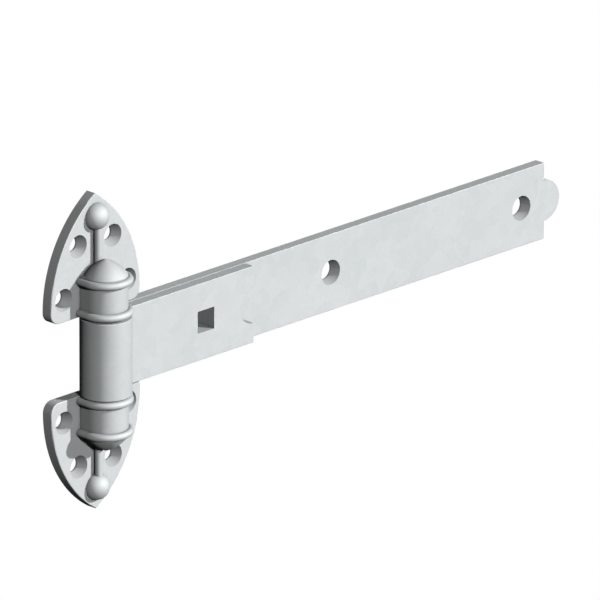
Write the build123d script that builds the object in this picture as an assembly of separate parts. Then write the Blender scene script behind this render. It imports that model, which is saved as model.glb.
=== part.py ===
from build123d import *
import math
import os

# Reversible gate band hinge: a flat bar rolled round a loose pin, with the bar's end brought back
# along its own front face, and two identical cast cup brackets that hold the pin's two ends.
#
# Millimetres. The origin is on the mounting plane (Y = 0), directly behind the pin's axis and
# halfway up the band. +X runs along the band, +Y into the post, +Z up. Closed, as on a shut gate.

# Band: hot rolled flat bar
BAR_WIDTH = 40.0
BAR_THICKNESS = 6.0
BAR_EDGE_RADIUS = 0.3
BAND_REACH = 300.0          # from the eye's outer surface to the straight cropped end
RETURN_END_X = 103.0        # where the returning end of the bar stops
SEAM_GAP = 0.15             # hairline between the two layers of bar
NUB_RADIUS = 10.7           # half-round nub that cropping leaves at the far end
NOTCH_RADIUS = 9.8          # half-round notch at the end of the return
EYE_WRAP_SHORTFALL = 8.0    # degrees short of three quarters of a turn where the reverse bend starts

# Holes in the band
SQUARE_HOLE_X = 70.0
SQUARE_HOLE_SIDE = 11.5
BOLT_HOLE_XS = (163.0, 297.0)
BOLT_HOLE_RADIUS = 5.0
BOLT_MOUTH_RADIUS = 6.45

# Every screw and bolt hole tapers from its mouth down to a short straight land at the back
HOLE_LAND = 1.0

# Pin
PIN_RADIUS = 7.0
PIN_HALF_LENGTH = 38.0
PIN_CHAMFER = 1.2
EYE_RUNNING_CLEARANCE = 0.08
SOCKET_CLEARANCE = 0.04
SOCKET_END_GAP = 0.3

# Cup bracket's plate
BAND_SIDE_GAP = 0.45
PLATE_THICKNESS = 6.0
PLATE_HALF_WIDTH = 30.6
PLATE_TIP_Z = 82.1
PLATE_CORNER_RADIUS = 5.6
PLATE_EDGE_RADIUS = 0.5
SCREW_HOLES = ((11.9, 57.3), (21.9, 31.9))      # X and Z of the right-hand holes
SCREW_HOLE_RADIUS = 3.7
SCREW_MOUTH_RADIUS = 5.9

# Cup bracket's cup, in front of the plate
COLLAR_RADIUS = 11.15
BEAD_RADIUS = 1.95
BEAD_PATH_RADIUS = 11.7
BEAD_ZS = (22.8, 39.3)
DOME_BASE_RADIUS = 11.1
DOME_BASE_Z = 41.8
DOME_TIP_Z = 50.0
DOME_SHOULDER = (6.8, 47.5)     # radius and Z where the profile's end tangents cross

# Ball and stem that finish the plate's tip
BALL_RADIUS = 6.9
BALL_Z = 70.3
STEM_RADIUS = 2.1
STEM_SINK = 0.3                 # how deep the stem is sunk into the plate

# Places that follow from the sizes above
EYE_BORE_RADIUS = PIN_RADIUS + EYE_RUNNING_CLEARANCE
EYE_RADIUS = EYE_BORE_RADIUS + BAR_THICKNESS
PIN_Y = -EYE_RADIUS
BAND_END_X = BAND_REACH + EYE_RADIUS
BAR_HALF_WIDTH = BAR_WIDTH / 2
PLATE_BOTTOM_Z = BAR_HALF_WIDTH + BAND_SIDE_GAP
SOCKET_RADIUS = PIN_RADIUS + SOCKET_CLEARANCE
SOCKET_END_Z = PIN_HALF_LENGTH + SOCKET_END_GAP


def tapered_hole(x, z, hole_radius, mouth_radius, thickness):
    """A hole through a layer of the given thickness, wide at the front and straight near the back."""
    taper = thickness - HOLE_LAND
    bore = Cylinder(hole_radius, 3 * thickness)
    cone = Pos(0, 0, HOLE_LAND + taper / 2) * Cone(hole_radius, mouth_radius, taper)
    mouth = Pos(0, 0, 1.5 * thickness) * Cylinder(mouth_radius, thickness)
    return Pos(x, 0, z) * Rot(90, 0, 0) * (bore + cone + mouth)


def band_plan():
    """The bent bar seen from above: back run, eye, reverse bend and return run, as one outline."""
    half = BAR_THICKNESS / 2
    eye_path_radius = EYE_BORE_RADIUS + half
    return_middle_y = -(BAR_THICKNESS + SEAM_GAP + half)
    rise = return_middle_y - PIN_Y
    sine = math.sin(math.radians(EYE_WRAP_SHORTFALL))
    cosine = math.cos(math.radians(EYE_WRAP_SHORTFALL))

    # The reverse bend is tangent to the eye and to the return run
    bend_radius = (rise + eye_path_radius * sine) / (1 - sine)
    bend_x = (eye_path_radius + bend_radius) * cosine
    bend_centre = (bend_x, return_middle_y - bend_radius)
    pin = (0, PIN_Y)
    eye_sweep = 270 - EYE_WRAP_SHORTFALL
    bend_start = 180 - EYE_WRAP_SHORTFALL
    bend_sweep = 90 - EYE_WRAP_SHORTFALL
    front_y = return_middle_y - half
    inner_y = return_middle_y + half

    outline = [
        Line((BAND_END_X, 0), (0, 0)),
        CenterArc(pin, EYE_RADIUS, 90, eye_sweep),
        CenterArc(bend_centre, bend_radius - half, bend_start, -bend_sweep),
        Line((bend_x, front_y), (RETURN_END_X, front_y)),
        Line((RETURN_END_X, front_y), (RETURN_END_X, inner_y)),
        Line((RETURN_END_X, inner_y), (bend_x, inner_y)),
        CenterArc(bend_centre, bend_radius + half, 90, bend_sweep),
        CenterArc(pin, EYE_BORE_RADIUS, -EYE_WRAP_SHORTFALL, -eye_sweep),
        Line((0, -BAR_THICKNESS), (BAND_END_X, -BAR_THICKNESS)),
        Line((BAND_END_X, -BAR_THICKNESS), (BAND_END_X, 0)),
    ]
    return make_face(outline)


def make_band():
    """Bar rolled into the eye and doubled back, with cropped ends and its bolt holes."""
    bar = extrude(band_plan(), amount=BAR_HALF_WIDTH, both=True)
    rims = [face.edges() for face in (bar.faces().sort_by(Axis.Z)[0], bar.faces().sort_by(Axis.Z)[-1])]
    long_edges = [edge for rim in rims for edge in rim if not is_cropped_end(edge)]
    bar = fillet(long_edges, BAR_EDGE_RADIUS)

    nub = Pos(BAND_END_X, -BAR_THICKNESS / 2, 0) * Rot(90, 0, 0) * Cylinder(NUB_RADIUS, BAR_THICKNESS)
    notch_depth = 2 * BAR_THICKNESS
    notch_tool = Rot(90, 0, 0) * Cylinder(NOTCH_RADIUS, notch_depth)
    notch_y = -(BAR_THICKNESS + SEAM_GAP / 2 + notch_depth / 2)
    notch = Pos(RETURN_END_X, notch_y, 0) * notch_tool

    square = Pos(SQUARE_HOLE_X, -BAR_THICKNESS, 0) * Box(SQUARE_HOLE_SIDE, 4 * BAR_THICKNESS, SQUARE_HOLE_SIDE)
    bolt_holes = [
        tapered_hole(x, 0, BOLT_HOLE_RADIUS, BOLT_MOUTH_RADIUS, BAR_THICKNESS) for x in BOLT_HOLE_XS
    ]
    return bar + nub - notch - square - bolt_holes


def is_cropped_end(edge):
    """True for the short edges across the bar's thickness at its two cropped ends."""
    return abs(edge.length - BAR_THICKNESS) < 0.01 and abs(edge.center().X) > EYE_RADIUS


def plate_face():
    """Pointed-arch outline of the plate, in the mounting plane: two large arcs that meet at the tip."""
    shoulder_z = PLATE_BOTTOM_Z + PLATE_CORNER_RADIUS
    arch_height = PLATE_TIP_Z - shoulder_z
    arch_radius = (arch_height ** 2 + PLATE_HALF_WIDTH ** 2) / (2 * PLATE_HALF_WIDTH)
    arch_offset = arch_radius - PLATE_HALF_WIDTH
    arch_sweep = math.degrees(math.asin(arch_height / arch_radius))
    corner_x = PLATE_HALF_WIDTH - PLATE_CORNER_RADIUS

    outline = [
        Line((-corner_x, PLATE_BOTTOM_Z), (corner_x, PLATE_BOTTOM_Z)),
        CenterArc((corner_x, shoulder_z), PLATE_CORNER_RADIUS, -90, 90),
        CenterArc((-arch_offset, shoulder_z), arch_radius, 0, arch_sweep),
        CenterArc((arch_offset, shoulder_z), arch_radius, 180 - arch_sweep, arch_sweep),
        CenterArc((-corner_x, shoulder_z), PLATE_CORNER_RADIUS, 180, 90),
    ]
    return Plane.XZ * make_face(outline)


def make_plate():
    """Flat back plate with a softened front rim."""
    plate = extrude(plate_face(), amount=PLATE_THICKNESS)
    front = plate.faces().sort_by(Axis.Y)[0]
    return fillet(front.edges(), PLATE_EDGE_RADIUS)


def make_collar():
    """Wall of the cup: half round in front of the pin, straight sides back into the plate."""
    back_y = -PLATE_THICKNESS / 2
    depth = back_y - PIN_Y
    plan = Pos(0, PIN_Y) * Circle(COLLAR_RADIUS)
    plan += Pos(0, PIN_Y + depth / 2) * Rectangle(2 * COLLAR_RADIUS, depth)
    front_half = Pos(0, PIN_Y - EYE_RADIUS + depth / 2) * Rectangle(4 * EYE_RADIUS, 2 * EYE_RADIUS + depth)
    height = DOME_BASE_Z - PLATE_BOTTOM_Z
    return Pos(0, 0, PLATE_BOTTOM_Z) * extrude(plan & front_half, amount=height)


def make_bead(z):
    """Round bead that follows the cup's wall from the plate, round the front and back again."""
    leg = -PLATE_THICKNESS / 2 - PIN_Y
    bend = Rot(0, 0, 180) * Torus(BEAD_PATH_RADIUS, BEAD_RADIUS, major_angle=180, align=None)
    legs = [
        Pos(side * BEAD_PATH_RADIUS, leg / 2, 0) * Rot(90, 0, 0) * Cylinder(BEAD_RADIUS, leg)
        for side in (-1, 1)
    ]
    return Pos(0, PIN_Y, z) * (bend + legs)


def make_dome():
    """Pointed dome that closes the cup, turned about the pin's axis."""
    root_z = BEAD_ZS[1]
    outline = [
        Line((0, root_z), (DOME_BASE_RADIUS, root_z)),
        Line((DOME_BASE_RADIUS, root_z), (DOME_BASE_RADIUS, DOME_BASE_Z)),
        Bezier((DOME_BASE_RADIUS, DOME_BASE_Z), DOME_SHOULDER, (0, DOME_TIP_Z)),
        Line((0, DOME_TIP_Z), (0, root_z)),
    ]
    return Pos(0, PIN_Y, 0) * revolve(Plane.XZ * make_face(outline), Axis.Z)


def make_finial():
    """Round stem up the plate's front, with a half ball near the tip."""
    stem_y = STEM_SINK - STEM_RADIUS
    stem_middle_z = (BEAD_ZS[1] + BALL_Z) / 2
    stem = Pos(0, stem_y, stem_middle_z) * Cylinder(STEM_RADIUS, BALL_Z - BEAD_ZS[1])
    ball = Pos(0, 0, BALL_Z) * Rot(0, 0, 180) * Sphere(BALL_RADIUS, arc_size3=180, align=None)
    return Pos(0, -PLATE_THICKNESS, 0) * (stem + ball)


def make_cup_bracket():
    """Upper cup bracket, one casting: plate, cup with two beads, dome, stem and ball."""
    socket_depth = SOCKET_END_Z
    socket = Pos(0, PIN_Y, socket_depth / 2) * Cylinder(SOCKET_RADIUS, socket_depth)
    screw_holes = [
        tapered_hole(side * x, z, SCREW_HOLE_RADIUS, SCREW_MOUTH_RADIUS, PLATE_THICKNESS)
        for x, z in SCREW_HOLES
        for side in (-1, 1)
    ]
    casting = make_plate() - screw_holes + make_collar() + make_dome() + make_finial()
    for z in BEAD_ZS:
        casting += make_bead(z)
    return casting - socket


def make_pin():
    """Loose pin with chamfered ends, which reaches into both cups."""
    pin = Cylinder(PIN_RADIUS, 2 * PIN_HALF_LENGTH)
    pin = chamfer(pin.edges().filter_by(GeomType.CIRCLE), PIN_CHAMFER)
    return Pos(0, PIN_Y, 0) * pin


def main():
    upper = make_cup_bracket()
    nodes = {
        "upper_cup_bracket": upper,
        "lower_cup_bracket": mirror(upper, about=Plane.XY),
        "gate_band": make_band(),
        "hinge_pin": make_pin(),
    }
    os.makedirs("parts", exist_ok=True)
    for name, shape in nodes.items():
        export_step(shape, f"parts/{name}.step")


main()
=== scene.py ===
import math
import bpy
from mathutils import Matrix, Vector

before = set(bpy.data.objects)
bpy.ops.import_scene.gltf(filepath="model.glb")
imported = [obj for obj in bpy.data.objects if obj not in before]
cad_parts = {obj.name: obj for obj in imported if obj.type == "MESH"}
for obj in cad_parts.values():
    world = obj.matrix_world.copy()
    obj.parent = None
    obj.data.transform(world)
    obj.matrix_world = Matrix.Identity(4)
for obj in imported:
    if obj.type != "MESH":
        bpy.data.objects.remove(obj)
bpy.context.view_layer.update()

# Metres throughout, in the CAD frame: +X along the band, +Y into the post, +Z up.

# Camera
AZIMUTH = -45.0
ELEVATION = 19.66
LENS = 1700.0
SENSOR = 36.0
VIEW_WIDTH = 0.2958
VIEW_CENTRE = Vector((0.1342, -0.0133, -0.0054))

# Lights: azimuth and elevation of the lamp seen from the object, strength, softness in degrees
LIGHTS = {
    "key": (32.0, 26.0, 3.0, 2.0),
    "fill": (-21.5, 23.0, 1.58, 5.0),
    "rear": (135.0, -8.0, 3.0, 20.0),
}
AMBIENT = 0.02

# Zinc coating: where it has dulled, where it is bright, how rough each is, and the painted shade grey for
# corners
DULL_ZINC = (0.60, 0.635, 0.64, 1)
BRIGHT_ZINC = (0.80, 0.82, 0.82, 1)
CORNER_SHADE_GREY = (0.20, 0.21, 0.21, 1)
DULL_ROUGHNESS = 0.80
BRIGHT_ROUGHNESS = 0.70
ZINC_METALLIC = 0.5
CRYSTAL_WANDER = 0.0015
CLOUD_SIZE = 0.028
CLOUD_CONTRAST = 0.06
SPECKLE_CONTRAST = 0.05
# Edges painted brighter: partly zinc worn by handling, partly a painted highlight
WORN_EDGE_AND_HIGHLIGHT_RADIUS = 0.0004
WORN_EDGE_AND_HIGHLIGHT_GAIN = 0.25
# Inner corners darkened towards a grey as painted shade
CORNER_REACH = 0.0025
CORNER_SHADE_DEPTH = 0.55

# Zinc on each kind of piece: crystal size and contrast, grain size and height, and how far
# the grain is drawn out
CASTING_ZINC = (0.0035, 0.06, 0.0009, 0.00003, 1.0)
BAR_ZINC = (0.006, 0.10, 0.0007, 0.000012, 6.0)

# Pin: turned bright steel, with oily patches and rings left by the tool
DARK_STEEL = (0.42, 0.42, 0.42, 1)
BRIGHT_STEEL = (0.66, 0.66, 0.65, 1)
OIL_PATCH_SIZE = 0.006
RING_SIZE = 0.0003
RING_HEIGHT = 0.000004
RING_ROUGHNESS = (0.25, 0.45)
ALONG_PIN = (0.05, 0.05, 1.0)

# Range that Blender's noise seldom leaves
NOISE_LOW = 0.3
NOISE_HIGH = 0.7

CREASE_ANGLE = math.radians(28)
FLOOR_HALF_WIDTH = 20.0
FLOOR_Z = -0.6


def direction(azimuth, elevation):
    """Unit vector from the object towards a camera or lamp at that azimuth and elevation, in degrees."""
    a, e = math.radians(azimuth), math.radians(elevation)
    return Vector((math.sin(a) * math.cos(e), -math.cos(a) * math.cos(e), math.sin(e)))


def add_camera():
    """A very long lens far away, because the object is seen almost in parallel projection."""
    data = bpy.data.cameras.new("camera")
    data.lens = LENS
    data.sensor_width = SENSOR
    distance = VIEW_WIDTH * LENS / SENSOR
    data.clip_start = distance / 10
    data.clip_end = distance * 3
    camera = bpy.data.objects.new("camera", data)
    bpy.context.scene.collection.objects.link(camera)
    back = direction(AZIMUTH, ELEVATION)
    camera.rotation_mode = "QUATERNION"
    camera.location = VIEW_CENTRE + back * distance
    camera.rotation_quaternion = (-back).to_track_quat("-Z", "Y")
    bpy.context.scene.camera = camera


def add_sun(name, azimuth, elevation, strength, softness):
    """A distant lamp that shines from the given direction."""
    data = bpy.data.lights.new(name, "SUN")
    data.energy = strength
    data.angle = math.radians(softness)
    lamp = bpy.data.objects.new(name, data)
    bpy.context.scene.collection.objects.link(lamp)
    lamp.rotation_mode = "QUATERNION"
    lamp.rotation_quaternion = (-direction(azimuth, elevation)).to_track_quat("-Z", "Y")


def crease_group():
    """Geometry nodes that drop imported normals and mark every edge sharper than CREASE_ANGLE."""
    group = bpy.data.node_groups.new("crease_normals", "GeometryNodeTree")
    group.interface.new_socket("Geometry", in_out="INPUT", socket_type="NodeSocketGeometry")
    group.interface.new_socket("Geometry", in_out="OUTPUT", socket_type="NodeSocketGeometry")
    nodes, links = group.nodes, group.links
    source = nodes.new("NodeGroupInput")
    target = nodes.new("NodeGroupOutput")
    normals = nodes.new("GeometryNodeSetMeshNormal")
    normals.mode = "SHARPNESS"
    angle = nodes.new("GeometryNodeInputMeshEdgeAngle")
    sharp = nodes.new("FunctionNodeCompare")
    sharp.operation = "GREATER_THAN"
    sharp.inputs[1].default_value = CREASE_ANGLE
    links.new(source.outputs[0], normals.inputs["Mesh"])
    links.new(angle.outputs["Unsigned Angle"], sharp.inputs[0])
    links.new(sharp.outputs[0], normals.inputs["Edge Sharpness"])
    links.new(normals.outputs[0], target.inputs[0])
    return group


def crisp(piece, group):
    """Sharp edges stay sharp and flat faces shade flat, with only the true curves smooth."""
    piece.modifiers.new("creases", "NODES").node_group = group
    weighted = piece.modifiers.new("flat_faces", "WEIGHTED_NORMAL")
    weighted.keep_sharp = True
    weighted.weight = 100


def make_node(tree, kind, inputs=None, **settings):
    """A shader node with its settings, and inputs that are either values or other nodes' outputs."""
    made = tree.nodes.new(kind)
    for key, value in settings.items():
        setattr(made, key, value)
    for key, value in (inputs or {}).items():
        if isinstance(value, bpy.types.NodeSocket):
            tree.links.new(value, made.inputs[key])
        else:
            made.inputs[key].default_value = value
    return made


def noise(tree, place, size, detail=2.0):
    """Cloudy pattern, 0 to 1, whose features are about the given size in metres."""
    settings = {"Vector": place, "Scale": 1 / size, "Detail": detail}
    return make_node(tree, "ShaderNodeTexNoise", settings).outputs["Fac"]


def rescale(tree, value, to_min, to_max, from_min=0.0, from_max=1.0):
    """Value stretched from one range to another, and held at the ends."""
    mapped = make_node(tree, "ShaderNodeMapRange", {"Value": value})
    mapped.inputs["From Min"].default_value = from_min
    mapped.inputs["From Max"].default_value = from_max
    mapped.inputs["To Min"].default_value = to_min
    mapped.inputs["To Max"].default_value = to_max
    return mapped.outputs["Result"]


def patches(tree, pattern, contrast):
    """Noise turned into lighter and darker patches, from minus the contrast to plus the contrast."""
    return rescale(tree, pattern, -contrast, contrast, NOISE_LOW, NOISE_HIGH)


def blend(tree, factor, first, second):
    """Colour that goes from the first to the second as the factor goes from 0 to 1."""
    return make_node(tree, "ShaderNodeMix", {0: factor, 6: first, 7: second}, data_type="RGBA").outputs[2]


def add_up(tree, *values):
    """Sum of several outputs."""
    total = values[0]
    for value in values[1:]:
        total = make_node(tree, "ShaderNodeMath", {0: total, 1: value}, operation="ADD").outputs[0]
    return total


def bump(tree, height, depth, under=None):
    """Normals of a relief whose depth is in metres, laid over an earlier relief if one is given."""
    made = make_node(tree, "ShaderNodeBump", {"Height": height, "Distance": depth, "Strength": 1.0})
    if under is not None:
        tree.links.new(under, made.inputs["Normal"])
    return made.outputs[0]


def crystals(tree, place, size):
    """Zinc spangle: a random level from 0 to 1 for each crystal, with wandering borders."""
    wander = make_node(tree, "ShaderNodeTexNoise", {"Vector": place, "Scale": 1 / size, "Detail": 3.0})
    middle = {0: wander.outputs["Color"], 1: (0.5, 0.5, 0.5)}
    centred = make_node(tree, "ShaderNodeVectorMath", middle, operation="SUBTRACT")
    shift = {0: centred.outputs[0], 1: (CRYSTAL_WANDER,) * 3, 2: place}
    bent = make_node(tree, "ShaderNodeVectorMath", shift, operation="MULTIPLY_ADD")
    cells = make_node(tree, "ShaderNodeTexVoronoi", {"Vector": bent.outputs[0], "Scale": 1 / size})
    level = make_node(tree, "ShaderNodeSeparateColor", {"Color": cells.outputs["Color"]})
    return level.outputs["Red"]


def worn_edges_and_highlight(tree):
    """1 along sharp edges, painted brighter: partly zinc worn by handling, partly a painted highlight; 0
    elsewhere.
    """
    surface = make_node(tree, "ShaderNodeNewGeometry")
    rounded = make_node(tree, "ShaderNodeBevel", {"Radius": WORN_EDGE_AND_HIGHLIGHT_RADIUS}, samples=4)
    normals = {0: surface.outputs["Normal"], 1: rounded.outputs[0]}
    likeness = make_node(tree, "ShaderNodeVectorMath", normals, operation="DOT_PRODUCT")
    return rescale(tree, likeness.outputs["Value"], 1.0, 0.0, from_min=0.90, from_max=0.999)


def painted_corner_shade(tree):
    """Painted shade: high deep in inner corners, 0 on open faces."""
    reach = {"Distance": CORNER_REACH}
    openness = make_node(tree, "ShaderNodeAmbientOcclusion", reach, samples=6, only_local=True)
    return rescale(tree, openness.outputs["AO"], CORNER_SHADE_DEPTH, 0.0, from_min=0.2, from_max=0.85)


def galvanised(name, crystal_size, crystal_contrast, grain_size, grain_height, streak):
    """Hot-dip zinc: crystals, clouds and grain, painted shade in corners, edges partly worn, partly
    painted highlight.

    streak draws the grain out in X and Y, as along a rolled bar; 1 leaves it even.
    """
    material = bpy.data.materials.new(name)
    material.use_nodes = True
    tree = material.node_tree
    shader = tree.nodes["Principled BSDF"]
    place = make_node(tree, "ShaderNodeTexCoord").outputs["Object"]

    spangle = rescale(tree, crystals(tree, place, crystal_size), -crystal_contrast, crystal_contrast)
    clouds = patches(tree, noise(tree, place, CLOUD_SIZE, 4.0), CLOUD_CONTRAST)
    speckle = patches(tree, noise(tree, place, 2 * grain_size), SPECKLE_CONTRAST)
    # Painted highlight: sharp edges made brighter, partly as zinc worn by handling
    wear_and_highlight = rescale(tree, worn_edges_and_highlight(tree), 0.0, WORN_EDGE_AND_HIGHLIGHT_GAIN)
    brightness = add_up(tree, spangle, clouds, speckle, wear_and_highlight)
    zinc = blend(tree, rescale(tree, brightness, 0.0, 1.0, -0.5, 0.5), DULL_ZINC, BRIGHT_ZINC)
    # Painted shade: inner corners blended towards a dark grey
    colour = blend(tree, painted_corner_shade(tree), zinc, CORNER_SHADE_GREY)
    tree.links.new(colour, shader.inputs["Base Color"])
    roughness = rescale(tree, brightness, DULL_ROUGHNESS, BRIGHT_ROUGHNESS, -0.5, 0.5)
    tree.links.new(roughness, shader.inputs["Roughness"])
    shader.inputs["Metallic"].default_value = ZINC_METALLIC

    squeeze = (1 / streak, 1 / streak, 1.0)
    drawn = make_node(tree, "ShaderNodeVectorMath", {0: place, 1: squeeze}, operation="MULTIPLY")
    grain = bump(tree, noise(tree, drawn.outputs[0], grain_size, 3.0), grain_height)
    ripple = bump(tree, noise(tree, place, 2 * crystal_size), 2 * grain_height, grain)
    tree.links.new(ripple, shader.inputs["Normal"])
    return material


def turned_steel(name):
    """Bright steel with fine rings left by the lathe."""
    material = bpy.data.materials.new(name)
    material.use_nodes = True
    tree = material.node_tree
    shader = tree.nodes["Principled BSDF"]
    place = make_node(tree, "ShaderNodeTexCoord").outputs["Object"]
    along = make_node(tree, "ShaderNodeVectorMath", {0: place, 1: ALONG_PIN}, operation="MULTIPLY")
    rings = noise(tree, along.outputs[0], RING_SIZE, 3.0)
    oil = noise(tree, place, OIL_PATCH_SIZE, 3.0)
    tree.links.new(blend(tree, oil, DARK_STEEL, BRIGHT_STEEL), shader.inputs["Base Color"])
    tree.links.new(rescale(tree, rings, *RING_ROUGHNESS), shader.inputs["Roughness"])
    shader.inputs["Metallic"].default_value = 1.0
    tree.links.new(bump(tree, rings, RING_HEIGHT), shader.inputs["Normal"])
    return material


def add_floor():
    """Plain pale floor well below the object, which neither lights nor shades it."""
    mesh = bpy.data.meshes.new("floor")
    across = (-FLOOR_HALF_WIDTH, FLOOR_HALF_WIDTH)
    mesh.from_pydata([(x, y, FLOOR_Z) for x in across for y in across], [], [(0, 2, 3, 1)])
    floor = bpy.data.objects.new("floor", mesh)
    bpy.context.scene.collection.objects.link(floor)
    material = bpy.data.materials.new("floor")
    material.use_nodes = True
    shader = material.node_tree.nodes["Principled BSDF"]
    shader.inputs["Base Color"].default_value = (0, 0, 0, 1)
    shader.inputs["Specular IOR Level"].default_value = 0
    shader.inputs["Emission Color"].default_value = (1, 1, 1, 1)
    shader.inputs["Emission Strength"].default_value = 1.0
    mesh.materials.append(material)
    floor.visible_diffuse = False
    floor.visible_glossy = False
    floor.visible_shadow = False


def set_world():
    """White behind the object for the camera, and a faint even light on the object itself."""
    world = bpy.data.worlds.new("world")
    bpy.context.scene.world = world
    world.use_nodes = True
    nodes, links = world.node_tree.nodes, world.node_tree.links
    background = nodes["Background"]
    background.inputs["Color"].default_value = (1, 1, 1, 1)
    path = nodes.new("ShaderNodeLightPath")
    strength = nodes.new("ShaderNodeMapRange")
    strength.inputs["To Min"].default_value = AMBIENT
    strength.inputs["To Max"].default_value = 1.0
    links.new(path.outputs["Is Camera Ray"], strength.inputs["Value"])
    links.new(strength.outputs["Result"], background.inputs["Strength"])


def main():
    """Camera, light and floor, then each piece's material and crisp edges."""
    creases = crease_group()
    add_camera()
    set_world()
    add_floor()
    for name, settings in LIGHTS.items():
        add_sun(name, *settings)
    casting = galvanised("galvanised_casting", *CASTING_ZINC)
    materials = {
        "gate_band": galvanised("galvanised_bar", *BAR_ZINC),
        "upper_cup_bracket": casting,
        "lower_cup_bracket": casting,
        "hinge_pin": turned_steel("turned_pin"),
    }
    for name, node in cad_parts.items():
        node.data.materials.clear()
        node.data.materials.append(materials[name])
        crisp(node, creases)
    # No light bounces between surfaces, so shaded faces stay dark
    scene = bpy.context.scene
    scene.cycles.diffuse_bounces = 0
    scene.cycles.glossy_bounces = 0
    scene.view_settings.view_transform = "Standard"


main()
